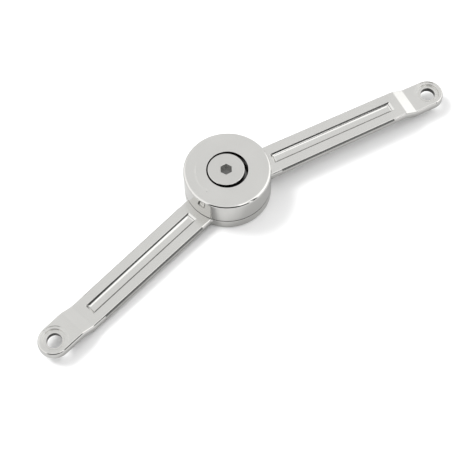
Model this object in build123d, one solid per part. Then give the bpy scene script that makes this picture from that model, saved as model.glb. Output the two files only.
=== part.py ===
"""Free-stop lid stay: two arms joined by an adjustable friction hub.

Millimetres, +Z up along the hinge axis, origin on that axis at the hub's underside.
The lower arm points along -X.  The upper arm is turned away from it by the angle between
the arms, seen from above.
"""

import math
import os

from build123d import *

# ---------------------------------------------------------------- hub
hub_d = 32.0  # both castings, outside
base_t = 4.4  # thickness of the lower casting's disc, rim to underside
base_floor_t = 1.6  # floor under the friction pack
base_rim_t = 1.7  # wall round the base disc's recess
base_edge_chamfer = 0.4  # lower edge of the base disc
seam = 0.12  # running gap between the two castings
drum_rim_r = 1.1  # size of the drum's rounded upper edge
drum_rim_steps = 3  # straight bevels that make up the rounding
top_bore_d = 15.2  # bore in the drum's top, round the screw head
web_t = 1.5  # wall that the disc springs clamp against the friction pack
spigot_clearance = 0.3  # between the drum's spigot and the base disc's recess
spigot_wall = 1.3  # between the spigot's outside and the cavity for the friction pack
spigot_floor_gap = 0.2  # under the spigot
head_proud = 0.2  # how far the screw head stands above the drum's top

# ---------------------------------------------------------------- arms
arm_length = 86.0  # hinge axis to the centre of the eye
arm_root_w = 12.7  # between the straight sides, where they reach the hinge axis
arm_t = 3.0
arm_gap = 0.9  # height between the two arms when they pass each other
arm_angle = 160.3  # between the two arms as modelled
arm_top_chamfer = 0.45  # upper edges
arm_bottom_chamfer = 0.3  # lower edges
arm_root_r = 1.2  # blend between the arm's sides and the hub
arm_blank_inset = 0.02  # the arm's blank ends this far inside the hub's outside
joggle_start = 73.0  # where the arm begins to step towards the hub's mid height
joggle_run = 4.6
joggle_bend_r = 1.5

# ---------------------------------------------------------------- groove in each arm
groove_start = 18.5  # distance from the hinge axis
groove_end = 69.7
groove_w = 4.2
groove_depth = 1.0
groove_side_run = 0.55  # how far each long wall leans in over the depth
groove_end_run = 1.1  # how far each end wall leans in over the depth

# ---------------------------------------------------------------- eye at each arm's end
eye_d = 11.7
eye_bore_d = 5.44
eye_recess_d = 8.3
eye_recess_depth = 1.15
eye_step_d = 10.1  # shallow step round the recess
eye_step_depth = 0.3

# ---------------------------------------------------------------- boss in the base disc
boss_across_flats = 11.4  # hexagon that carries the friction discs
journal_d = 8.6
journal_across_flats = 7.4  # two flats on the journal's top
boss_shoulder_gap = 0.1  # below the web
key_clearance = 0.1  # all round a keyed hole
bush_bore_clearance = 0.05  # running fit of the bush on the journal
bush_wall = 0.95
bush_seat_clearance = 0.01
washer_seat_below = 0.3  # the journal ends this far below the keyed washer's top

# ---------------------------------------------------------------- friction pack
friction_disc_t = 0.9
drum_plate_t = 0.6
drum_plate_count = 3  # each between two friction discs
face_gap = 0.02  # between flat faces that slide on each other
drum_plate_clearance = 0.2  # inside the cavity
drum_plate_hole_clearance = 0.4  # round the boss's corners
friction_disc_clearance = 0.4  # inside the cavity
lug_count = 4
lug_w = 3.0
lug_inset = 0.1  # the lugs end this far inside the spigot's outside
lug_clearance = 0.2

# ---------------------------------------------------------------- clamp
slide_washer_t = 0.5
slide_washer_hole_clearance = 0.4
keyed_washer_t = 0.7
washer_clearance = 0.5  # inside the top bore
spring_d = 10.0
spring_t = 0.5
spring_cone = 0.25
spring_hole_clearance = 0.1
screw_d = 5.0
screw_clearance = 0.05  # in its tapped hole, threads left plain
screw_head_d = 13.4
screw_head_t = 3.2
screw_head_chamfer = 0.25
socket_across_flats = 4.0
socket_depth = 2.2
socket_angle = 44.5  # direction of one corner of the socket, from +X
screw_offset = 0.4  # the tapped hole's distance from the hinge axis
screw_offset_angle = 134.5  # its direction, from +X
tapped_hole_floor = 1.7  # metal between the tapped hole and the underside
tapped_depth_left = 0.5  # between the screw's point and the tapped hole's floor

# ---------------------------------------------------------------- worked out from the sizes above
hub_r = hub_d / 2
eye_r = eye_d / 2
recess_r = hub_r - base_rim_t
base_wall_mid_r = (hub_r + recess_r) / 2
spigot_r = recess_r - spigot_clearance
cavity_r = spigot_r - spigot_wall
drum_wall_mid_r = (hub_r + cavity_r) / 2
lug_r = spigot_r - lug_inset
boss_corner_r = boss_across_flats / math.sqrt(3)
journal_r = journal_d / 2
top_bore_r = top_bore_d / 2

drum_z = base_t + seam
spigot_z = base_floor_t + spigot_floor_gap
pack_pitch = friction_disc_t + drum_plate_t + 2 * face_gap
first_disc_z = base_floor_t + face_gap
first_plate_z = first_disc_z + friction_disc_t + face_gap
web_z = first_disc_z + drum_plate_count * pack_pitch + friction_disc_t + face_gap
web_top_z = web_z + web_t
shoulder_z = web_z - boss_shoulder_gap
keyed_washer_z = web_top_z + slide_washer_t + face_gap
spring_z = keyed_washer_z + keyed_washer_t
spring_pitch = spring_t + spring_cone + face_gap
head_z = spring_z + 2 * spring_pitch
head_top_z = head_z + screw_head_t
hub_h = head_top_z - head_proud
journal_top_z = spring_z - washer_seat_below
screw_length = head_z - tapped_hole_floor - tapped_depth_left

lower_arm_z = base_t - arm_t
upper_arm_z = base_t + arm_gap
tab_z = (lower_arm_z + upper_arm_z) / 2
tab_top_z = tab_z + arm_t

screw_x = screw_offset * math.cos(math.radians(screw_offset_angle))
screw_y = screw_offset * math.sin(math.radians(screw_offset_angle))
lower_direction = 180.0
upper_direction = lower_direction + arm_angle


def disc(radius, z_low, z_high):
    """Round solid on the hinge axis between two heights."""
    return Pos(0, 0, z_low) * extrude(Circle(radius), z_high - z_low)


def ring(outer_r, inner_r, z_low, thickness):
    """Flat ring on the hinge axis."""
    return Pos(0, 0, z_low) * extrude(Circle(outer_r) - Circle(inner_r), thickness)


def hexagon(across_flats, angle=0.0):
    """Regular hexagon with one corner in the given direction."""
    return RegularPolygon(across_flats / 2, 6, major_radius=False, rotation=angle)


def double_d(radius, across_flats):
    """Circle with two flats, facing +Y and -Y."""
    return Circle(radius) & Rectangle(2 * radius, across_flats)


def cross(reach, width):
    """Bars from the hinge axis, evenly spaced, with their ends on one circle."""
    bar = Pos(reach / 2, 0) * Rectangle(reach, width)
    bars = [Rot(0, 0, i * 360 / lug_count) * bar for i in range(lug_count)]
    return (Sketch() + bars) & Circle(reach)


# ---------------------------------------------------------------- one arm, along +X
def arm_side_view(root_z):
    """Side view of the arm: flat, a joggle to the eye's level, flat again."""
    far = arm_length + eye_r
    top = root_z + arm_t
    end = joggle_start + joggle_run
    bend = math.atan2(tab_z - root_z, joggle_run)
    shift = arm_t * math.tan(bend / 2)
    upper_line = FilletPolyline(
        (0, top),
        (joggle_start, top),
        (end, tab_top_z),
        (far, tab_top_z),
        radius=joggle_bend_r,
    )
    lower_line = FilletPolyline(
        (0, root_z),
        (joggle_start + shift, root_z),
        (end + shift, tab_z),
        (far, tab_z),
        radius=joggle_bend_r,
    )
    ends = Line((0, root_z), (0, top)) + Line((far, tab_z), (far, tab_top_z))
    return make_face(upper_line + lower_line + ends)


def arm_plan():
    """Plan of the arm: straight tapering sides that run tangent into the round eye."""
    half = arm_root_w / 2
    lean = math.acos(eye_r / math.hypot(half, arm_length)) - math.atan2(arm_length, half)
    touch_x = arm_length + eye_r * math.sin(lean)
    touch_y = eye_r * math.cos(lean)
    sides = Polyline((touch_x, -touch_y), (0, -half), (0, half), (touch_x, touch_y))
    tip = ThreePointArc((touch_x, touch_y), (arm_length + eye_r, 0), (touch_x, -touch_y))
    plan = make_face(sides + tip) + Circle(hub_r - arm_blank_inset)
    hub_corners = [v for v in plan.vertices() if 0 < v.X < hub_r]
    return fillet(hub_corners, arm_root_r)


def outline_edges(blank, upper):
    """The blank's edges along its outline, above or below, without those of the bends."""
    side = 1 if upper else -1
    flats = [f for f in blank.faces() if side * f.normal_at().Z > 0.5]
    edges = [e for f in flats for e in f.edges()]
    return [e for e in edges if e.geom_type != GeomType.LINE or abs(e.tangent_at(0.5).X) > 0.5]


def groove_cut(top_z):
    """Long shallow groove whose side and end walls lean inwards."""
    floor_z = top_z - groove_depth
    half = groove_w / 2
    across = Polyline(
        (-half, top_z),
        (-half + groove_side_run, floor_z),
        (half - groove_side_run, floor_z),
        (half, top_z),
        close=True,
    )
    along = Polyline(
        (groove_start, top_z),
        (groove_start + groove_end_run, floor_z),
        (groove_end - groove_end_run, floor_z),
        (groove_end, top_z),
        close=True,
    )
    channel = extrude(Plane.YZ * make_face(across), groove_end)
    length_limit = extrude(Plane.XZ * make_face(along), groove_w, both=True)
    return channel & length_limit


def eye_cut():
    """Bore, the recess round it, and the shallow step round the recess."""
    bore = disc(eye_bore_d / 2, 0, hub_h)
    recess = disc(eye_recess_d / 2, tab_top_z - eye_recess_depth, hub_h)
    step = disc(eye_step_d / 2, tab_top_z - eye_step_depth, hub_h)
    return Pos(arm_length, 0, 0) * (bore + recess + step)


def arm(root_z, wall_r):
    """One arm with chamfered edges, cut off inside the hub's wall."""
    slab = extrude(Plane.XZ * arm_side_view(root_z), hub_d, both=True)
    blank = slab & extrude(arm_plan(), hub_h)
    blank = chamfer(outline_edges(blank, upper=False), arm_bottom_chamfer)
    blank = chamfer(outline_edges(blank, upper=True), arm_top_chamfer)
    return blank - disc(wall_r, 0, hub_h) - groove_cut(root_z + arm_t) - eye_cut()


# ---------------------------------------------------------------- castings
def make_lower_arm():
    """Base disc with its recess, the keyed boss, the journal and the lower arm."""
    half_section = Polyline(
        (0, 0),
        (hub_r - base_edge_chamfer, 0),
        (hub_r, base_edge_chamfer),
        (hub_r, base_t),
        (recess_r, base_t),
        (recess_r, base_floor_t),
        (0, base_floor_t),
        close=True,
    )
    base = revolve(Plane.XZ * make_face(half_section), Axis.Z)
    boss = extrude(hexagon(boss_across_flats), shoulder_z)
    journal = disc(journal_r, 0, web_top_z)
    key = extrude(double_d(journal_r, journal_across_flats), journal_top_z)
    limb = Rot(0, 0, lower_direction) * arm(lower_arm_z, base_wall_mid_r)
    tapped_hole = Pos(screw_x, screw_y, 0) * disc(screw_d / 2 + screw_clearance, tapped_hole_floor, hub_h)
    return base + boss + journal + key + limb - tapped_hole


def drum_rim():
    """Points of the drum's rounded upper edge, from its side to its top."""
    points = []
    for i in range(drum_rim_steps + 1):
        turn = math.radians(i * 90 / drum_rim_steps)
        x = hub_r - drum_rim_r * (1 - math.cos(turn))
        z = hub_h - drum_rim_r * (1 - math.sin(turn))
        points.append((x, z))
    return points


def make_upper_arm():
    """Drum with its web, spigot and lug slots, and the upper arm."""
    bush_seat_r = journal_r + bush_bore_clearance + bush_wall + bush_seat_clearance
    half_section = Polyline(
        (bush_seat_r, web_z),
        (cavity_r, web_z),
        (cavity_r, spigot_z),
        (spigot_r, spigot_z),
        (spigot_r, drum_z),
        (hub_r, drum_z),
        *drum_rim(),
        (top_bore_r, hub_h),
        (top_bore_r, web_top_z),
        (bush_seat_r, web_top_z),
        close=True,
    )
    drum = revolve(Plane.XZ * make_face(half_section), Axis.Z)
    slot_outline = cross(lug_r + lug_clearance, lug_w + 2 * lug_clearance)
    slots = Pos(0, 0, spigot_z) * extrude(slot_outline, web_z - spigot_z)
    limb = Rot(0, 0, upper_direction) * arm(upper_arm_z, drum_wall_mid_r)
    return drum + limb - slots


# ---------------------------------------------------------------- friction pack
def make_friction_disc(z_low):
    """Friction disc with a hexagonal hole that sits on the boss."""
    outline = Circle(cavity_r - friction_disc_clearance) - hexagon(boss_across_flats + 2 * key_clearance)
    return Pos(0, 0, z_low) * extrude(outline, friction_disc_t)


def make_drum_plate(z_low):
    """Steel plate with lugs that sit in the drum's slots."""
    outline = Circle(cavity_r - drum_plate_clearance) + cross(lug_r, lug_w)
    outline -= Circle(boss_corner_r + drum_plate_hole_clearance)
    return Pos(0, 0, z_low) * extrude(outline, drum_plate_t)


def friction_pack():
    """Friction discs on the boss, with a drum plate between every two."""
    pieces = {}
    for i in range(drum_plate_count + 1):
        pieces[f"friction_disc_{i + 1}"] = make_friction_disc(first_disc_z + i * pack_pitch)
    for i in range(drum_plate_count):
        pieces[f"drum_plate_{i + 1}"] = make_drum_plate(first_plate_z + i * pack_pitch)
    return pieces


# ---------------------------------------------------------------- clamp
def make_pivot_bush():
    """Bush in the drum's web, running on the boss's journal."""
    inner_r = journal_r + bush_bore_clearance
    return ring(inner_r + bush_wall, inner_r, web_z, web_t)


def make_slide_washer():
    """Plastic washer on the web, under the keyed washer."""
    inner_r = journal_r + slide_washer_hole_clearance
    return ring(top_bore_r - washer_clearance, inner_r, web_top_z, slide_washer_t)


def make_keyed_washer():
    """Steel washer that carries the disc springs and cannot turn on the journal's flats."""
    hole = double_d(journal_r + key_clearance, journal_across_flats + 2 * key_clearance)
    outline = Circle(top_bore_r - washer_clearance) - hole
    return Pos(0, 0, keyed_washer_z) * extrude(outline, keyed_washer_t)


def make_disc_spring(z_low, outer_edge_down):
    """Conical spring washer round the screw."""
    inner_r = screw_d / 2 + spring_hole_clearance
    outer_z, inner_z = (0, spring_cone) if outer_edge_down else (spring_cone, 0)
    half_section = Polyline(
        (inner_r, inner_z),
        (spring_d / 2, outer_z),
        (spring_d / 2, outer_z + spring_t),
        (inner_r, inner_z + spring_t),
        close=True,
    )
    return Pos(screw_x, screw_y, z_low) * revolve(Plane.XZ * make_face(half_section), Axis.Z)


def make_adjusting_screw():
    """Flat-headed screw with a hexagon socket."""
    head_r = screw_head_d / 2
    half_section = Polyline(
        (0, -screw_length),
        (screw_d / 2, -screw_length),
        (screw_d / 2, 0),
        (head_r, 0),
        (head_r, screw_head_t - screw_head_chamfer),
        (head_r - screw_head_chamfer, screw_head_t),
        (0, screw_head_t),
        close=True,
    )
    solid = revolve(Plane.XZ * make_face(half_section), Axis.Z)
    socket = extrude(hexagon(socket_across_flats, socket_angle), socket_depth)
    solid -= Pos(0, 0, screw_head_t - socket_depth) * socket
    return Pos(screw_x, screw_y, head_z) * solid


def make_parts():
    """Every piece of the stay, by node name."""
    pieces = {
        "lower_arm": make_lower_arm(),
        "upper_arm": make_upper_arm(),
        "adjusting_screw": make_adjusting_screw(),
        "pivot_bush": make_pivot_bush(),
        "slide_washer": make_slide_washer(),
        "keyed_washer": make_keyed_washer(),
        "disc_spring_lower": make_disc_spring(spring_z, outer_edge_down=True),
        "disc_spring_upper": make_disc_spring(spring_z + spring_pitch, outer_edge_down=False),
    }
    pieces.update(friction_pack())
    return pieces


if __name__ == "__main__":
    os.makedirs("parts", exist_ok=True)
    for name, solid in make_parts().items():
        export_step(solid, f"parts/{name}.step")
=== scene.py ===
"""Looks of the free-stop lid stay: plated castings with true roundings, in soft studio light.

Shapes are worked out in millimetres in the part's own frame and turned to metres at the end.
"""

import math

import bpy
from mathutils import Matrix, Vector
from mathutils.geometry import delaunay_2d_cdt


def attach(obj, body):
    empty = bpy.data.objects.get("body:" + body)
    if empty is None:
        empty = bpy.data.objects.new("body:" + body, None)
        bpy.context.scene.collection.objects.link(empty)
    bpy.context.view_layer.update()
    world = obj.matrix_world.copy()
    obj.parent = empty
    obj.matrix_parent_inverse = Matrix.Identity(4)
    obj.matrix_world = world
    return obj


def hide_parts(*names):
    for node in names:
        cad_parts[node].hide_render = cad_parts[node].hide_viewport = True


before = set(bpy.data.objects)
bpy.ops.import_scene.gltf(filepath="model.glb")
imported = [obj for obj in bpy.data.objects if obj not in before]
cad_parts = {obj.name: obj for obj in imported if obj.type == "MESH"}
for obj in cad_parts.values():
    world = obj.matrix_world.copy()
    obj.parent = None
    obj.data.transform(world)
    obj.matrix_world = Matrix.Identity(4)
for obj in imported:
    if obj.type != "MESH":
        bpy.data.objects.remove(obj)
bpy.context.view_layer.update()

MM = 0.001

# ---------------------------------------------------------------- sizes, as the solids have them (mm)
HUB_R = 16.0
BASE_T = 4.4
BASE_FLOOR_T = 1.6
RECESS_R = 14.3
SPIGOT_R = 14.0
SPIGOT_Z = 1.8
DRUM_Z = 4.52
CAVITY_R = 12.7
WEB_Z = 7.16
WEB_TOP_Z = 8.66
BUSH_SEAT_R = 5.31
TOP_BORE_R = 7.6
HUB_H = 14.42
HUB_CHAMFER = 0.4
DRUM_RIM_R = 1.1
BOSS_ACROSS_FLATS = 11.4
BOSS_TOP_Z = 7.06
JOURNAL_R = 4.3
JOURNAL_TOP_Z = 9.58

ARM_LENGTH = 86.0
ARM_ROOT_HALF = 6.35
ARM_T = 3.0
ARM_ROOT_R = 1.2
LOWER_ARM_Z = 1.4
UPPER_ARM_Z = 5.3
TAB_Z = 3.35
JOGGLE_START = 73.0
JOGGLE_RUN = 4.6
JOGGLE_BEND_R = 1.5
LOWER_DIRECTION = 180.0
UPPER_DIRECTION = 340.3

GROOVE_START = 18.5
GROOVE_END = 69.7
GROOVE_HALF = 2.1
GROOVE_DEPTH = 1.0
GROOVE_SIDE_RUN = 0.55
GROOVE_END_RUN = 1.1
GROOVE_CORNER_R = 0.25

EYE_R = 5.85
EYE_BORE_R = 2.72
EYE_RECESS_R = 4.15
EYE_RECESS_DEPTH = 1.15
EYE_STEP_R = 5.05
EYE_STEP_DEPTH = 0.3

SCREW_X = -0.2804
SCREW_Y = 0.2853
SCREW_R = 2.5
SCREW_POINT_Z = 2.2
HEAD_R = 6.7
HEAD_Z = 11.42
HEAD_TOP_Z = 14.62
SOCKET_ACROSS_FLATS = 4.0
SOCKET_DEPTH = 2.2
SOCKET_ANGLE = 44.5

# ---------------------------------------------------------------- what only the looks have (mm)
# Where the arm's shell ends inside the hub.
ARM_INSIDE_R = 15.0
GROOVE_RIM_R = 0.2
GROOVE_FLOOR_R = 1.5
# Raised ring round each eye's bore.
EYE_COLLAR_R = 3.4
EYE_COLLAR_H = 0.15
TOP_EDGE_R = 0.7
TOP_EDGE_DOWN = 1.5
SEAM_EDGE_R = 0.3
BOTTOM_EDGE_R = 0.3
HEAD_EDGE_R = 0.25
SMALL_EDGE_R = 0.12
TINY_EDGE_R = 0.05

# ---------------------------------------------------------------- flat faces beyond an edge (mm)
UNDERSIDE_LAND = 1.5
FLAT_LAND = 1.0
POINT_LAND = 0.5
EYE_LAND = 0.07
EYE_FOOT_LAND = 0.3
# Length of the end of a line that only gives its direction and is cut off.
GUIDE = 1.0

# ---------------------------------------------------------------- where the darker metals of painted shade start (mm)
SEAM_SHADE = 0.02
BORE_SHADE = 0.01
WALL_SHADE = 0.025
SOCKET_SHADE = 0.2
# Numbers of a piece's darker metals, which paint shade into its gaps, bores and grooves; its main one is
# 0.
PAINTED_SHADE_INNER = 1
PAINTED_SHADE_WALL = 2

# ---------------------------------------------------------------- how finely lines are divided
CIRCLE_POINTS = 192
ARC_STEPS = 6
TOP_EDGE_STEPS = 12
SIDE_STEP = 4.0
# Near the joggle the arm's sides are divided more finely, from so far before it to so far after it.
BEND_STEP = 0.1
BEND_BEFORE = 1.0
BEND_AFTER = 1.5
# What Blender's triangulation is asked for: triangles inside the outer line, and points this near are one.
TRIANGLES_INSIDE = 1
MERGE_DISTANCE = 1e-6


# ---------------------------------------------------------------- lines and arcs
def rounded(corners, closed=False):
    """Points with outward normals along a line whose corners (x, y, radius) are rounded.

    The body lies on the left of the line, so the normals point to its right.
    """
    count = len(corners)
    result = []
    for i, (x, y, radius) in enumerate(corners):
        corner = Vector((x, y))
        if not closed and i in (0, count - 1):
            other = Vector(corners[1][:2]) if i == 0 else Vector(corners[-2][:2])
            along = (other - corner if i == 0 else corner - other).normalized()
            result.append((x, y, along.y, -along.x))
            continue
        before = (corner - Vector(corners[i - 1][:2])).normalized()
        after = (Vector(corners[(i + 1) % count][:2]) - corner).normalized()
        turn = math.atan2(before.x * after.y - before.y * after.x, before.dot(after))
        side = 1 if turn > 0 else -1
        normal = Vector((before.y, -before.x))
        centre = corner - before * radius * math.tan(abs(turn) / 2) - normal * radius * side
        parts = max(2, math.ceil(abs(turn) / (math.pi / 2) * ARC_STEPS))
        for k in range(parts + 1):
            angle = turn * k / parts
            n = Matrix.Rotation(angle, 2) @ normal
            p = centre + n * radius * side
            result.append((p.x, p.y, n.x, n.y))
    return result


def arc(x, y, radius, start, end, parts, outward=1):
    """Points with normals on a round arc; outward is -1 where the body lies outside it."""
    result = []
    for k in range(parts + 1):
        angle = start + (end - start) * k / parts
        nx = math.cos(angle)
        ny = math.sin(angle)
        result.append((x + radius * nx, y + radius * ny, outward * nx, outward * ny))
    return result


def circle(x=0.0, y=0.0):
    """Directions all round a centre: the outline of whatever is turned about it."""
    return arc(x, y, 0, 0, 2 * math.pi, CIRCLE_POINTS)[:-1]


def hexagon(across_flats, angle, corner_r):
    """Outline of a hexagon with slightly rounded corners and one corner at the angle, in degrees."""
    reach = across_flats / math.sqrt(3)
    turns = [math.radians(angle + 60 * i) for i in range(6)]
    corners = [(reach * math.cos(a), reach * math.sin(a), corner_r) for a in turns]
    return rounded(corners, closed=True)


def moved(outline, x, y):
    """The same outline about another centre."""
    return [(px + x, py + y, nx, ny) for px, py, nx, ny in outline]


# ---------------------------------------------------------------- shells
class Skin:
    """Points, normals and faces of one piece, in millimetres."""

    def __init__(self):
        self.points = []
        self.normals = []
        self.faces = []
        self.shades = {}

    def sweep(self, outline, profile):
        """Faces that follow a closed outline with the profile's (outward, z) section.

        Returns the point numbers of the first and the last loop.
        """
        loops = []
        for out, z, n_out, n_z in profile:
            first = len(self.points)
            for x, y, nx, ny in outline:
                self.points.append(Vector((x + out * nx, y + out * ny, z)))
                self.normals.append(Vector((n_out * nx, n_out * ny, n_z)))
            loops.append(range(first, len(self.points)))
        self.join(loops)
        return loops[0], loops[-1]

    def join(self, loops):
        """Quads between each closed loop and the next."""
        for low, high in zip(loops, loops[1:]):
            for i in range(len(low)):
                j = (i + 1) % len(low)
                self.faces.append((low[i], low[j], high[j], high[i]))

    def cap(self, loop, up):
        """One flat face over a loop."""
        self.faces.append(tuple(loop) if up else tuple(reversed(loop)))

    def fill(self, outer, holes, up, lines=()):
        """Flat faces between a loop and the holes in it, divided along the given lines."""
        loops = [list(outer)] + [list(h) for h in holes]
        numbers = [n for loop in loops for n in loop]
        place = {n: i for i, n in enumerate(numbers)}
        flat = [self.points[n].to_2d() for n in numbers]
        edges = [(place[a], place[b]) for loop in loops for a, b in zip(loop, loop[1:] + loop[:1])]
        edges += [(place[a], place[b]) for a, b in lines]
        made = delaunay_2d_cdt(flat, edges, [], TRIANGLES_INSIDE, MERGE_DISTANCE)
        triangles, sources = made[2:4]
        rims = [[self.points[n].to_2d() for n in h] for h in loops[1:]]
        for triangle in triangles:
            face = [numbers[sources[v][0]] for v in triangle]
            middle = sum((self.points[n].to_2d() for n in face), Vector((0, 0))) / 3
            if any(is_inside(middle, rim) for rim in rims):
                continue
            self.faces.append(tuple(face) if up else tuple(reversed(face)))

    def bend(self, first_point, height):
        """Moves the points from first_point on to the heights that height(x, z) gives.

        height also returns its slopes along x and z, which tilt the normals.
        """
        for i in range(first_point, len(self.points)):
            p = self.points[i]
            n = self.normals[i]
            z, slope_x, slope_z = height(p.x, p.z)
            self.points[i] = Vector((p.x, p.y, z))
            self.normals[i] = Vector((n.x * slope_z - slope_x * n.z, n.y * slope_z, n.z)).normalized()

    def turn(self, degrees):
        """Turns the piece about the hub's axis."""
        rotation = Matrix.Rotation(math.radians(degrees), 3, "Z")
        self.points = [rotation @ p for p in self.points]
        self.normals = [rotation @ n for n in self.normals]

    def shade(self, material_number, is_meant):
        """Gives another of the piece's materials to the faces whose points all pass the test."""
        for number, face in enumerate(self.faces):
            if all(is_meant(self.points[v]) for v in face):
                self.shades[number] = material_number

    def add(self, other):
        """Takes in another skin's points and faces, with the materials those have."""
        shift = len(self.points)
        for number, shade in other.shades.items():
            self.shades[len(self.faces) + number] = shade
        self.points += other.points
        self.normals += other.normals
        self.faces += [tuple(v + shift for v in f) for f in other.faces]

    def piece(self, name, materials, body, node=None):
        """Makes the finished object, which rides on a body and may stand for a node."""
        mesh = bpy.data.meshes.new(name)
        mesh.from_pydata([p * MM for p in self.points], [], self.faces)
        mesh.polygons.foreach_set("use_smooth", [True] * len(mesh.polygons))
        mesh.normals_split_custom_set_from_vertices([n.normalized() for n in self.normals])
        for material in materials:
            mesh.materials.append(material)
        for number, shade in self.shades.items():
            mesh.polygons[number].material_index = shade
        made = bpy.data.objects.new(name, mesh)
        bpy.context.scene.collection.objects.link(made)
        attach(made, body)
        if node:
            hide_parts(node)


def is_inside(point, rim):
    """Whether a point lies within a convex rim: on the same side of all its edges."""
    signs = {(b - a).cross(point - a) > 0 for a, b in zip(rim, rim[1:] + rim[:1])}
    return len(signs) == 1


# ---------------------------------------------------------------- one arm, along +X
def joggle(x, start, low, high):
    """Height and slope at x of a line that steps from low to high with rounded bends."""
    angle = math.atan2(high - low, JOGGLE_RUN)
    side = 1 if angle > 0 else -1
    reach = JOGGLE_BEND_R * math.tan(abs(angle) / 2)
    end = start + JOGGLE_RUN
    first = x - (start - reach)
    last = (end + reach) - x
    bend = JOGGLE_BEND_R * math.sin(abs(angle))
    if first <= 0:
        return low, 0.0
    if last <= 0:
        return high, 0.0
    if first < bend:
        drop = math.sqrt(JOGGLE_BEND_R**2 - first**2)
        return low + side * (JOGGLE_BEND_R - drop), side * first / drop
    if last < bend:
        drop = math.sqrt(JOGGLE_BEND_R**2 - last**2)
        return high - side * (JOGGLE_BEND_R - drop), side * last / drop
    return low + (x - start) * math.tan(angle), math.tan(angle)


def arm_height(root_z):
    """How the arm's flat shape is bent up or down to the eye's level."""
    angle = math.atan2(TAB_Z - root_z, JOGGLE_RUN)
    shift = ARM_T * math.tan(angle / 2)

    def height(x, z):
        """The bent height of a point, and the slopes of that height along x and z."""
        top, top_slope = joggle(x, JOGGLE_START, root_z + ARM_T, TAB_Z + ARM_T)
        bottom, bottom_slope = joggle(x, JOGGLE_START + shift, root_z, TAB_Z)
        share = (z - root_z) / ARM_T
        slope = bottom_slope + share * (top_slope - bottom_slope)
        stretch = (top - bottom) / ARM_T
        return bottom + share * (top - bottom), slope, stretch

    return height


def arm_outline():
    """Outline of the arm, anticlockwise from inside the hub.

    Returns the outline and how many of its points lie on one side, in one finely divided stretch and
    inside the hub.
    """
    tangent = math.acos(EYE_R / math.hypot(ARM_ROOT_HALF, ARM_LENGTH))
    lean = tangent - math.atan2(ARM_LENGTH, ARM_ROOT_HALF)
    normal = Vector((math.sin(lean), math.cos(lean)))
    along = Vector((math.cos(lean), -math.sin(lean)))
    rise = ARM_ROOT_HALF * math.cos(lean) + ARM_ROOT_R
    reach = math.sqrt((HUB_R + ARM_ROOT_R) ** 2 - rise**2)
    centre = normal * rise + along * reach
    blend_start = math.atan2(-normal.y, -normal.x)
    blend_end = math.atan2(-centre.y, -centre.x)
    blend = arc(centre.x, centre.y, ARM_ROOT_R, blend_start, blend_end, ARC_STEPS, outward=-1)

    root_x = centre.x - normal.x * ARM_ROOT_R
    fine_start = JOGGLE_START - BEND_BEFORE
    fine_end = JOGGLE_START + JOGGLE_RUN + BEND_AFTER
    plain = [root_x + SIDE_STEP * (i + 1) for i in range(int((fine_start - root_x) / SIDE_STEP))]
    fine = [fine_start + BEND_STEP * i for i in range(int((fine_end - fine_start) / BEND_STEP) + 1)]
    slope = math.tan(lean)
    side = [(x, ARM_ROOT_HALF - x * slope, normal.x, normal.y) for x in reversed(plain + fine)]

    tip = arc(ARM_LENGTH, 0, EYE_R, lean - math.pi / 2, math.pi / 2 - lean, CIRCLE_POINTS // 2)
    inside_half = math.asin(ARM_ROOT_HALF / ARM_INSIDE_R)
    inside = arc(0, 0, ARM_INSIDE_R, inside_half, -inside_half, ARC_STEPS)
    inside = [(x, y, 0, 0) for x, y, nx, ny in inside]
    upper = side + blend
    lower = [(x, -y, nx, -ny) for x, y, nx, ny in reversed(upper)]
    return lower + tip + upper + inside, len(upper), len(fine), len(inside)


def add_groove(skin, top_z):
    """The groove's walls and floor; returns its rim in the arm's top."""
    middle = (GROOVE_START + GROOVE_END) / 2
    half_length = (GROOVE_END - GROOVE_START) / 2
    sides = groove_section(GROOVE_SIDE_RUN)
    ends = groove_section(GROOVE_END_RUN)
    loops = []
    for (side_out, side_z, side_n, side_nz), (end_out, end_z, end_n, end_nz) in zip(sides, ends):
        first = len(skin.points)
        for quarter in range(4):
            for k in range(ARC_STEPS + 1):
                angle = math.pi / 2 * (quarter + k / ARC_STEPS)
                cx = math.cos(angle)
                cy = math.sin(angle)
                sign_x = 1 if quarter in (0, 3) else -1
                sign_y = 1 if quarter in (0, 1) else -1
                share = cx * cx
                x = middle + sign_x * (half_length + end_out - GROOVE_CORNER_R) + GROOVE_CORNER_R * cx
                y = sign_y * (GROOVE_HALF + side_out - GROOVE_CORNER_R) + GROOVE_CORNER_R * cy
                z = top_z + share * end_z + (1 - share) * side_z
                n = Vector((end_n * cx, side_n * cy, share * end_nz + (1 - share) * side_nz))
                skin.points.append(Vector((x, y, z)))
                skin.normals.append(n.normalized())
        loops.append(range(first, len(skin.points)))
    skin.join(loops)
    skin.cap(loops[-1], up=True)
    return loops[0]


def groove_section(run):
    """Section of one groove wall as (outward, z) points, the same number for every wall."""
    wall = math.atan2(GROOVE_DEPTH, run)
    rim_reach = GROOVE_RIM_R * math.tan(wall / 2)
    floor_reach = GROOVE_FLOOR_R * math.tan(wall / 2)
    points = []
    for k in range(ARC_STEPS + 1):
        a = wall * k / ARC_STEPS
        x = rim_reach - GROOVE_RIM_R * math.sin(a)
        z = GROOVE_RIM_R * (math.cos(a) - 1)
        points.append((x, z, -math.sin(a), math.cos(a)))
    for k in range(ARC_STEPS + 1):
        a = wall * (1 - k / ARC_STEPS)
        x = -run - floor_reach + GROOVE_FLOOR_R * math.sin(a)
        z = -GROOVE_DEPTH + GROOVE_FLOOR_R * (1 - math.cos(a))
        points.append((x, z, -math.sin(a), math.cos(a)))
    return points


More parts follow.
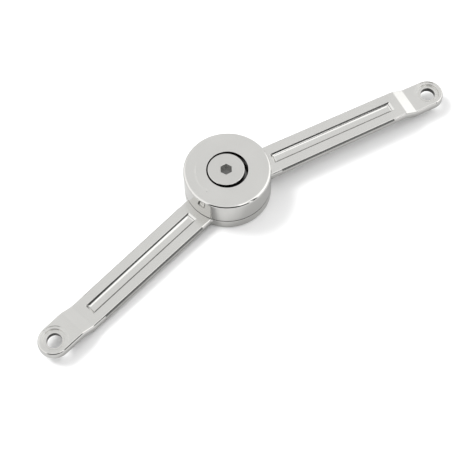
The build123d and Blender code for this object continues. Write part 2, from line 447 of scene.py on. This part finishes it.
def is_groove_wall(point, top_z):
    """Whether a point lies on the steep part of one of the groove's long walls."""
    middle = (GROOVE_START + GROOVE_END) / 2
    half_length = (GROOVE_END - GROOVE_START) / 2
    beside = abs(point.y) > GROOVE_HALF - GROOVE_SIDE_RUN
    along = abs(point.x - middle) < half_length - GROOVE_CORNER_R
    return beside and along and WALL_SHADE < top_z - point.z < GROOVE_DEPTH


def top_edge(top_z):
    """The arm's top edge: a quarter of an ellipse, deeper than it is wide."""
    points = []
    for k in range(TOP_EDGE_STEPS + 1):
        a = math.pi / 2 * k / TOP_EDGE_STEPS
        out = TOP_EDGE_R * (math.cos(a) - 1)
        z = top_z + TOP_EDGE_DOWN * (math.sin(a) - 1)
        n = Vector((math.cos(a) / TOP_EDGE_R, math.sin(a) / TOP_EDGE_DOWN)).normalized()
        points.append((out, z, n.x, n.y))
    return points


def eye_profile():
    """Section of the eye: step, recess, collar round the bore, and the bore down to the underside."""
    top = TAB_Z + ARM_T
    floor = top - EYE_RECESS_DEPTH
    corners = [
        (EYE_STEP_R + EYE_LAND, top, 0),
        (EYE_STEP_R, top, TINY_EDGE_R),
        (EYE_STEP_R, top - EYE_STEP_DEPTH, SMALL_EDGE_R),
        (EYE_RECESS_R, top - EYE_STEP_DEPTH, SMALL_EDGE_R),
        (EYE_RECESS_R, floor, SMALL_EDGE_R),
        (EYE_COLLAR_R, floor, TINY_EDGE_R),
        (EYE_COLLAR_R, floor + EYE_COLLAR_H, TINY_EDGE_R),
        (EYE_BORE_R, floor + EYE_COLLAR_H, SMALL_EDGE_R),
        (EYE_BORE_R, TAB_Z, SMALL_EDGE_R),
        (EYE_BORE_R + EYE_FOOT_LAND, TAB_Z, 0),
    ]
    return rounded(corners)


def arm(root_z):
    """One arm with its groove and eye, along +X and bent to the eye's level."""
    skin = Skin()
    top = root_z + ARM_T
    outline, side_points, bend_points, inside_points = arm_outline()
    foot = rounded([(-GUIDE, root_z, 0), (0, root_z, BOTTOM_EDGE_R), (0, top, 0)])[1:-1]
    bottom, rim = skin.sweep(outline, foot + top_edge(top))
    groove = add_groove(skin, top)
    # Painted shade on the groove's long walls.
    skin.shade(PAINTED_SHADE_WALL, lambda p: is_groove_wall(p, top))
    drop = root_z - TAB_Z
    eye = [(out, z + drop, n_out, n_z) for out, z, n_out, n_z in eye_profile()]
    eye_rim, eye_foot = skin.sweep(circle(ARM_LENGTH, 0), eye)
    bore_centre = Vector((ARM_LENGTH, 0))
    # Painted shade in the eye's bore.
    skin.shade(PAINTED_SHADE_WALL, lambda p: (p.to_2d() - bore_centre).length < EYE_BORE_R + BORE_SHADE)

    last = side_points - 1
    first_upper = len(outline) - inside_points - side_points
    pairs = [(last - k, first_upper + k) for k in range(bend_points)]
    skin.fill(rim, [groove, eye_rim], up=True, lines=[(rim[a], rim[b]) for a, b in pairs])
    skin.fill(bottom, [eye_foot], up=False, lines=[(bottom[a], bottom[b]) for a, b in pairs])
    skin.bend(0, arm_height(root_z))
    return skin


# ---------------------------------------------------------------- pieces
def lower_arm():
    """The left arm with the hub's base, its boss and its journal."""
    skin = arm(LOWER_ARM_Z)
    skin.turn(LOWER_DIRECTION)
    hub = Skin()
    corners = [
        (HUB_R - UNDERSIDE_LAND, 0, 0),
        (HUB_R - HUB_CHAMFER, 0, TINY_EDGE_R),
        (HUB_R, HUB_CHAMFER, TINY_EDGE_R),
        (HUB_R, BASE_T, SEAM_EDGE_R),
        (RECESS_R, BASE_T, TINY_EDGE_R),
        (RECESS_R, BASE_FLOOR_T, TINY_EDGE_R),
        (RECESS_R - FLAT_LAND, BASE_FLOOR_T, 0),
    ]
    under, floor = hub.sweep(circle(), rounded(corners))
    seam_r = HUB_R - SEAM_SHADE
    # Painted shade: the base's rounded edge at the seam gets the near-black metal.
    hub.shade(PAINTED_SHADE_INNER, lambda p: p.to_2d().length < seam_r and p.z > BASE_T - SEAM_EDGE_R)
    hub.cap(under, up=False)
    hub.cap(floor, up=True)
    boss_line = hexagon(BOSS_ACROSS_FLATS, 0, TINY_EDGE_R)
    boss = rounded([(0, BASE_FLOOR_T, 0), (0, BOSS_TOP_Z, TINY_EDGE_R), (-GUIDE, BOSS_TOP_Z, 0)])[:-1]
    hub.cap(hub.sweep(boss_line, boss)[1], up=True)
    journal = [
        (JOURNAL_R, BOSS_TOP_Z, 0),
        (JOURNAL_R, JOURNAL_TOP_Z, TINY_EDGE_R),
        (JOURNAL_R - FLAT_LAND, JOURNAL_TOP_Z, 0),
    ]
    hub.cap(hub.sweep(circle(), rounded(journal))[1], up=True)
    skin.add(hub)
    return skin


def upper_arm():
    """The right arm with the hub's drum, which is hollow from below and open at the top."""
    skin = arm(UPPER_ARM_Z)
    skin.turn(UPPER_DIRECTION)
    drum = Skin()
    corners = [
        (BUSH_SEAT_R, WEB_Z, TINY_EDGE_R),
        (CAVITY_R, WEB_Z, TINY_EDGE_R),
        (CAVITY_R, SPIGOT_Z, TINY_EDGE_R),
        (SPIGOT_R, SPIGOT_Z, TINY_EDGE_R),
        (SPIGOT_R, DRUM_Z, TINY_EDGE_R),
        (HUB_R, DRUM_Z, SEAM_EDGE_R),
        (HUB_R, HUB_H, DRUM_RIM_R),
        (TOP_BORE_R, HUB_H, SMALL_EDGE_R),
        (TOP_BORE_R, WEB_TOP_Z, TINY_EDGE_R),
        (BUSH_SEAT_R, WEB_TOP_Z, TINY_EDGE_R),
    ]
    profile = rounded(corners, closed=True)
    drum.sweep(circle(), profile + profile[:1])
    bore_r = TOP_BORE_R + BORE_SHADE
    seam_r = HUB_R - SEAM_SHADE
    # Painted shade: the bore round the screw head and the drum's side of the seam get the near-black
    # metal.
    drum.shade(PAINTED_SHADE_INNER, lambda p: p.to_2d().length < bore_r and p.z < HUB_H - SMALL_EDGE_R)
    drum.shade(PAINTED_SHADE_INNER, lambda p: p.to_2d().length < seam_r and p.z < DRUM_Z + SEAM_EDGE_R)
    skin.add(drum)
    return skin


def adjusting_screw():
    """The screw's plain shank and its flat head with the hexagon socket."""
    skin = Skin()
    corners = [
        (SCREW_R - POINT_LAND, SCREW_POINT_Z, 0),
        (SCREW_R, SCREW_POINT_Z, TINY_EDGE_R),
        (SCREW_R, HEAD_Z, TINY_EDGE_R),
        (HEAD_R, HEAD_Z, SMALL_EDGE_R),
        (HEAD_R, HEAD_TOP_Z, HEAD_EDGE_R),
        (HEAD_R - FLAT_LAND, HEAD_TOP_Z, 0),
    ]
    point, top = skin.sweep(circle(SCREW_X, SCREW_Y), rounded(corners))
    skin.cap(point, up=False)
    socket_line = moved(hexagon(SOCKET_ACROSS_FLATS, SOCKET_ANGLE, TINY_EDGE_R), SCREW_X, SCREW_Y)
    socket_z = HEAD_TOP_Z - SOCKET_DEPTH
    section = [
        (GUIDE, HEAD_TOP_Z, 0),
        (0, HEAD_TOP_Z, SMALL_EDGE_R),
        (0, socket_z, TINY_EDGE_R),
        (-GUIDE, socket_z, 0),
    ]
    rim, floor = skin.sweep(socket_line, rounded(section)[1:-1])
    skin.cap(floor, up=True)
    skin.fill(top, [rim], up=True)
    # Painted shade: everything below the head's top, socket walls included, gets the dark metal.
    skin.shade(PAINTED_SHADE_INNER, lambda p: p.z < HEAD_TOP_Z - SOCKET_SHADE)
    return skin


# ---------------------------------------------------------------- marks on the drum's top (mm and degrees)
MARK_R = 11.7
MARK_H = 0.05
MARK_W = 0.5
MARK_TOP_SHARE = 0.5
MARK_SINK = 0.03
MARK_HALF = 1.1
PLUS_AT = 124.0
MINUS_AT = 137.0
ARROW_FROM = 147.0
ARROW_TO = 186.0
ARROW_STEPS = 12
ARROW_HEAD = 1.4
ARROW_HEAD_LEAN = 35


def add_stroke(skin, line):
    """One raised stroke with sloped sides along a line of flat points on the drum's top."""
    left = ((1.0, -MARK_SINK), (MARK_TOP_SHARE, MARK_H))
    section = left + tuple((-across, z) for across, z in reversed(left))
    loops = []
    for i, point in enumerate(line):
        before = line[max(i - 1, 0)]
        after = line[min(i + 1, len(line) - 1)]
        side = (after - before).normalized().orthogonal() * MARK_W / 2
        first = len(skin.points)
        for across, z in section:
            flat = point + side * across
            skin.points.append(Vector((flat.x, flat.y, HUB_H + z)))
            skin.normals.append(Vector((side.x * across, side.y * across, MARK_W)))
        loops.append(range(first, len(skin.points)))
    skin.join(loops)
    skin.cap(loops[0], up=False)
    skin.cap(loops[-1], up=True)


def direction_marks():
    """A plus, a minus and a bent arrow: which way the screw tightens the hub."""
    skin = Skin()

    def place(degrees, radius):
        """The flat point that far from the hub's axis in that direction."""
        a = math.radians(degrees)
        return Vector((radius * math.cos(a), radius * math.sin(a)))

    for degrees, both in ((PLUS_AT, True), (MINUS_AT, False)):
        middle = place(degrees, MARK_R)
        across = place(degrees + 90, MARK_HALF)
        along = place(degrees, MARK_HALF)
        add_stroke(skin, [middle - across, middle + across])
        if both:
            add_stroke(skin, [middle - along, middle + along])
    sweep = ARROW_TO - ARROW_FROM
    turns = [ARROW_FROM + sweep * i / ARROW_STEPS for i in range(ARROW_STEPS + 1)]
    add_stroke(skin, [place(degrees, MARK_R) for degrees in turns])
    tip = place(ARROW_TO, MARK_R)
    for lean in (ARROW_HEAD_LEAN, -ARROW_HEAD_LEAN):
        back = place(ARROW_TO - 90 + lean, ARROW_HEAD)
        add_stroke(skin, [tip, tip + back])
    return skin


# ---------------------------------------------------------------- materials
# Scales of the noise that changes tone and gloss, in features per metre, and its detail.
TONE_SCALE = 90
GLOSS_SCALE = 400
GLOSS_DETAIL = 4
GRAIN_DETAIL = 3
PLASTIC_TONE_SCALE = 600
PLASTIC_TONE_DETAIL = 3
PLASTIC_ROUGH = 0.45
# A face turns from edge to level while its normal's Z goes from the first to the second.
EDGE_NORMAL_Z = 0.9
LEVEL_NORMAL_Z = 0.999


def new_material(name):
    """A material with its node tree and its shader."""
    material = bpy.data.materials.new(name)
    material.use_nodes = True
    tree = material.node_tree
    shader = tree.nodes["Principled BSDF"]
    return material, tree, shader


def calculate(tree, operation, *values):
    """One sum of a material or world; each value is a number or another node's output."""
    node = tree.nodes.new("ShaderNodeMath")
    node.operation = operation
    for socket, value in zip(node.inputs, values):
        if isinstance(value, (int, float)):
            socket.default_value = value
        else:
            tree.links.new(value, socket)
    return node.outputs["Value"]


def smooth_step(tree, value, low, high):
    """Rises smoothly from 0 to 1 while the value goes from low to high."""
    node = tree.nodes.new("ShaderNodeMapRange")
    node.interpolation_type = "SMOOTHSTEP"
    node.inputs["From Min"].default_value = low
    node.inputs["From Max"].default_value = high
    tree.links.new(value, node.inputs["Value"])
    return node.outputs["Result"]


def noise(tree, scale, detail=2.0):
    """Noise in the part's own coordinates; scale is in features per metre."""
    place = tree.nodes.new("ShaderNodeTexCoord")
    node = tree.nodes.new("ShaderNodeTexNoise")
    node.inputs["Scale"].default_value = scale
    node.inputs["Detail"].default_value = detail
    tree.links.new(place.outputs["Object"], node.inputs["Vector"])
    return node.outputs["Fac"]


def spread(tree, value, low, high):
    """Turns a 0 to 1 value into the range from low to high."""
    node = tree.nodes.new("ShaderNodeMapRange")
    node.inputs["To Min"].default_value = low
    node.inputs["To Max"].default_value = high
    tree.links.new(value, node.inputs["Value"])
    return node.outputs["Result"]


def tint(tree, value, dark, light):
    """Colour between two tones, mixed by a value."""
    node = tree.nodes.new("ShaderNodeMix")
    node.data_type = "RGBA"
    node.inputs["A"].default_value = (*dark, 1)
    node.inputs["B"].default_value = (*light, 1)
    tree.links.new(value, node.inputs["Factor"])
    return node.outputs["Result"]


def metal(name, dark, light, rough, grain, edge_rough=None):
    """Metal with slight changes of tone and gloss and a fine uneven surface.

    rough is the lowest and highest roughness, grain the surface's features per metre and its depth in
    metres. With edge_rough, whatever isn't level from above has that roughness.
    """
    material, tree, shader = new_material(name)
    shader.inputs["Metallic"].default_value = 1.0
    tree.links.new(tint(tree, noise(tree, TONE_SCALE), dark, light), shader.inputs["Base Color"])
    roughness = spread(tree, noise(tree, GLOSS_SCALE, GLOSS_DETAIL), *rough)
    if edge_rough:
        place = tree.nodes.new("ShaderNodeNewGeometry")
        parts = tree.nodes.new("ShaderNodeSeparateXYZ")
        tree.links.new(place.outputs["Normal"], parts.inputs["Vector"])
        level = smooth_step(tree, parts.outputs["Z"], EDGE_NORMAL_Z, LEVEL_NORMAL_Z)
        change = calculate(tree, "SUBTRACT", roughness, edge_rough)
        roughness = calculate(tree, "MULTIPLY_ADD", change, level, edge_rough)
    tree.links.new(roughness, shader.inputs["Roughness"])
    grain_scale, grain_depth = grain
    bump = tree.nodes.new("ShaderNodeBump")
    bump.inputs["Strength"].default_value = 1.0
    bump.inputs["Distance"].default_value = grain_depth
    tree.links.new(noise(tree, grain_scale, GRAIN_DETAIL), bump.inputs["Height"])
    tree.links.new(bump.outputs["Normal"], shader.inputs["Normal"])
    return material


def plastic(name, dark, light):
    """Plastic with slight changes of tone."""
    material, tree, shader = new_material(name)
    shader.inputs["Roughness"].default_value = PLASTIC_ROUGH
    tone = noise(tree, PLASTIC_TONE_SCALE, PLASTIC_TONE_DETAIL)
    tree.links.new(tint(tree, tone, dark, light), shader.inputs["Base Color"])
    return material


nickel = metal(
    "satin_nickel",
    dark=(0.66, 0.655, 0.635),
    light=(0.72, 0.715, 0.695),
    rough=(0.20, 0.27),
    grain=(900, 0.000004),
    edge_rough=0.10,
)
screw_nickel = metal(
    "screw_nickel",
    dark=(0.64, 0.635, 0.615),
    light=(0.70, 0.695, 0.675),
    rough=(0.18, 0.24),
    grain=(1500, 0.000002),
    edge_rough=0.12,
)
# Near-black metal: painted shade in the drum's bore round the screw head and in the seam between base and
# drum.
painted_shade_bore_metal = metal(
    "bore_painted_shade",
    dark=(0.020, 0.020, 0.019),
    light=(0.045, 0.044, 0.042),
    rough=(0.45, 0.60),
    grain=(1500, 0.000004),
)
# Dark metal: painted shade on the screw head's side, the shank and the hexagon socket.
painted_shade_socket_metal = metal(
    "socket_painted_shade",
    dark=(0.12, 0.12, 0.118),
    light=(0.22, 0.22, 0.215),
    rough=(0.22, 0.32),
    grain=(1500, 0.000003),
)
# Dark metal: painted shade on the groove's long walls and in the eyes' bores.
painted_shade_recess_metal = metal(
    "recess_painted_shade",
    dark=(0.13, 0.13, 0.127),
    light=(0.20, 0.20, 0.195),
    rough=(0.16, 0.26),
    grain=(1500, 0.000003),
)
# Steel tone darkened as painted shade: the washers are seen only deep in the gap round the screw head.
washer_steel = metal(
    "washer_steel",
    dark=(0.16, 0.16, 0.16),
    light=(0.24, 0.24, 0.24),
    rough=(0.35, 0.48),
    grain=(2500, 0.000003),
)
spring_steel = metal(
    "spring_steel",
    dark=(0.22, 0.22, 0.23),
    light=(0.32, 0.32, 0.34),
    rough=(0.30, 0.42),
    grain=(2500, 0.000003),
)
bronze = metal(
    "friction_bronze",
    dark=(0.50, 0.32, 0.14),
    light=(0.62, 0.42, 0.20),
    rough=(0.35, 0.5),
    grain=(3000, 0.000004),
)
plate_steel = metal(
    "plate_steel",
    dark=(0.48, 0.48, 0.49),
    light=(0.58, 0.58, 0.59),
    rough=(0.3, 0.45),
    grain=(3000, 0.000004),
)
bush_plastic = plastic("bush_plastic", dark=(0.70, 0.69, 0.64), light=(0.78, 0.77, 0.73))

lower_arm().piece("lower_arm_shell", (nickel, painted_shade_bore_metal, painted_shade_recess_metal), "base", "lower_arm")
upper_arm().piece("upper_arm_shell", (nickel, painted_shade_bore_metal, painted_shade_recess_metal), "upper", "upper_arm")
adjusting_screw().piece("adjusting_screw_shell", (screw_nickel, painted_shade_socket_metal), "screw", "adjusting_screw")
direction_marks().piece("direction_marks", (nickel,), "upper")

# What the solids that stay as they are wear, by the start of their names.
NODE_MATERIALS = {
    "keyed_washer": washer_steel,
    "disc_spring": spring_steel,
    "friction_disc": bronze,
    "drum_plate": plate_steel,
    "slide_washer": bush_plastic,
    "pivot_bush": bush_plastic,
}
for node_name, node_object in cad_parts.items():
    for start, node_material in NODE_MATERIALS.items():
        if node_name.startswith(start):
            node_object.data.materials.clear()
            node_object.data.materials.append(node_material)


# ---------------------------------------------------------------- floor, light and camera
FLOOR_REACH = 3.0
FLOOR_DROP = 0.00002
FLOOR_WHITE = 0.92
FLOOR_ROUGH = 0.9
# The mirrored floor goes from the near tone to the far one between these distances from the hub.
MIRRORED_FLOOR_NEAR = 0.62
MIRRORED_FLOOR_FAR = 0.10
FADE_START = 0.03
FADE_END = 0.35


def add_floor():
    """White floor; polished surfaces mirror it darker, and darker still far away."""
    mesh = bpy.data.meshes.new("floor")
    corners = [(-1, -1), (1, -1), (1, 1), (-1, 1)]
    mesh.from_pydata([(x * FLOOR_REACH, y * FLOOR_REACH, 0) for x, y in corners], [], [(0, 1, 2, 3)])
    material, tree, shader = new_material("floor_white")
    shader.inputs["Base Color"].default_value = (FLOOR_WHITE, FLOOR_WHITE, FLOOR_WHITE, 1)
    shader.inputs["Roughness"].default_value = FLOOR_ROUGH
    shader.inputs["Specular IOR Level"].default_value = 0.0
    place = tree.nodes.new("ShaderNodeTexCoord")
    distance = tree.nodes.new("ShaderNodeVectorMath")
    distance.operation = "LENGTH"
    tree.links.new(place.outputs["Object"], distance.inputs[0])
    fade = tree.nodes.new("ShaderNodeMapRange")
    fade.interpolation_type = "SMOOTHSTEP"
    fade.inputs["From Min"].default_value = FADE_START
    fade.inputs["From Max"].default_value = FADE_END
    fade.inputs["To Min"].default_value = MIRRORED_FLOOR_NEAR
    fade.inputs["To Max"].default_value = MIRRORED_FLOOR_FAR
    tree.links.new(distance.outputs["Value"], fade.inputs["Value"])
    mirrored = tree.nodes.new("ShaderNodeBsdfDiffuse")
    tree.links.new(fade.outputs["Result"], mirrored.inputs["Color"])
    rays = tree.nodes.new("ShaderNodeLightPath")
    mix = tree.nodes.new("ShaderNodeMixShader")
    tree.links.new(rays.outputs["Is Glossy Ray"], mix.inputs["Fac"])
    tree.links.new(shader.outputs["BSDF"], mix.inputs[1])
    tree.links.new(mirrored.outputs["BSDF"], mix.inputs[2])
    tree.links.new(mix.outputs["Shader"], tree.nodes["Material Output"].inputs["Surface"])
    mesh.materials.append(material)
    floor = bpy.data.objects.new("floor", mesh)
    bpy.context.scene.collection.objects.link(floor)
    floor.location.z = -FLOOR_DROP


KEY_PLACE = (-0.25, 0.75, 0.9)
KEY_SIZE = 0.5
KEY_POWER = 10


def add_key_panel():
    """Square soft light behind the object that faces the hub; it casts the shadows and isn't mirrored."""
    light = bpy.data.lights.new("key_panel", "AREA")
    light.shape = "SQUARE"
    light.size = KEY_SIZE
    light.energy = KEY_POWER
    panel = bpy.data.objects.new("key_panel", light)
    panel.location = KEY_PLACE
    panel.rotation_euler = (-Vector(KEY_PLACE)).to_track_quat("-Z", "Y").to_euler()
    panel.visible_glossy = False
    bpy.context.scene.collection.objects.link(panel)


# Cards round the object: middle azimuth from +X and half-width, lowest and highest elevation, soft edge,
# all in degrees, and the brightness. A later card covers an earlier one.
CARDS = (
    # high at the back, mirrored by the level tops
    (45, 40, 40, 90, 15, 0.90),
    # bright and wide to the right
    (-31, 38, 8, 76, 6, 1.50),
    # bright and low to the left
    (135, 40, 5, 50, 15, 1.25),
    # black and low at the camera's side
    (-133, 41, -15, 38, 3, 0.01),
    # narrow black strip to the right of the camera
    (-79, 4, -15, 58, 3, 0.02),
    # white and high, between the camera and the black strip
    (-97, 12, 34, 72, 4, 1.60),
    # thin white strip low between the two black cards
    (-87, 3, -15, 34, 2, 1.50),
)
TENT_BRIGHTNESS = 0.95


def angle_nodes(tree):
    """Azimuth and elevation, in radians, of the direction that a ray leaves the scene in."""
    place = tree.nodes.new("ShaderNodeTexCoord")
    parts = tree.nodes.new("ShaderNodeSeparateXYZ")
    tree.links.new(place.outputs["Generated"], parts.inputs["Vector"])
    azimuth = calculate(tree, "ARCTAN2", parts.outputs["Y"], parts.outputs["X"])
    elevation = calculate(tree, "ARCSINE", parts.outputs["Z"])
    return azimuth, elevation


def add_world():
    """A white tent with lighter and darker cards; the camera itself sees plain white."""
    world = bpy.data.worlds.new("studio")
    world.use_nodes = True
    tree = world.node_tree
    azimuth, elevation = angle_nodes(tree)
    level = TENT_BRIGHTNESS
    for *degrees, brightness in CARDS:
        middle, half_width, lowest, highest, soft = map(math.radians, degrees)
        off = calculate(tree, "WRAP", calculate(tree, "SUBTRACT", azimuth, middle), math.pi, -math.pi)
        beside = smooth_step(tree, calculate(tree, "ABSOLUTE", off), half_width, half_width + soft)
        above = smooth_step(tree, elevation, highest, highest + soft)
        under = smooth_step(tree, elevation, lowest, lowest - soft)
        outside = calculate(tree, "MAXIMUM", beside, calculate(tree, "MAXIMUM", above, under))
        card = calculate(tree, "SUBTRACT", 1.0, outside)
        change = calculate(tree, "MULTIPLY", card, calculate(tree, "SUBTRACT", brightness, level))
        level = calculate(tree, "ADD", level, change)
    rays = tree.nodes.new("ShaderNodeLightPath")
    seen = tree.nodes.new("ShaderNodeMix")
    seen.inputs["B"].default_value = 1.0
    tree.links.new(rays.outputs["Is Camera Ray"], seen.inputs["Factor"])
    tree.links.new(level, seen.inputs["A"])
    background = tree.nodes["Background"]
    tree.links.new(seen.outputs["Result"], background.inputs["Strength"])
    background.inputs["Color"].default_value = (1, 1, 1, 1)
    bpy.context.scene.world = world


CAMERA_PLACE = Vector((-147.8, -148.3, 354.0)) * MM
CAMERA_TARGET = Vector((-12.11, -15.06, 0.0)) * MM
CAMERA_ROLL = -1.304
CAMERA_LENS = 84.59
SENSOR_WIDTH = 36.0
CLIP_START = 0.01


def add_camera():
    """The camera, which sees the object as the photograph does."""
    forward = (CAMERA_TARGET - CAMERA_PLACE).normalized()
    right = forward.cross(Vector((0, 0, 1))).normalized()
    up = right.cross(forward)
    roll = math.radians(CAMERA_ROLL)
    rolled_right = right * math.cos(roll) + up * math.sin(roll)
    rolled_up = up * math.cos(roll) - right * math.sin(roll)
    camera_data = bpy.data.cameras.new("camera")
    camera_data.lens = CAMERA_LENS
    camera_data.sensor_width = SENSOR_WIDTH
    camera_data.clip_start = CLIP_START
    camera = bpy.data.objects.new("camera", camera_data)
    axes = Matrix((rolled_right, rolled_up, -forward)).transposed()
    camera.matrix_world = Matrix.Translation(CAMERA_PLACE) @ axes.to_4x4()
    bpy.context.scene.collection.objects.link(camera)
    bpy.context.scene.camera = camera


add_floor()
add_world()
add_key_panel()
add_camera()

bpy.context.scene.view_settings.view_transform = "Standard"
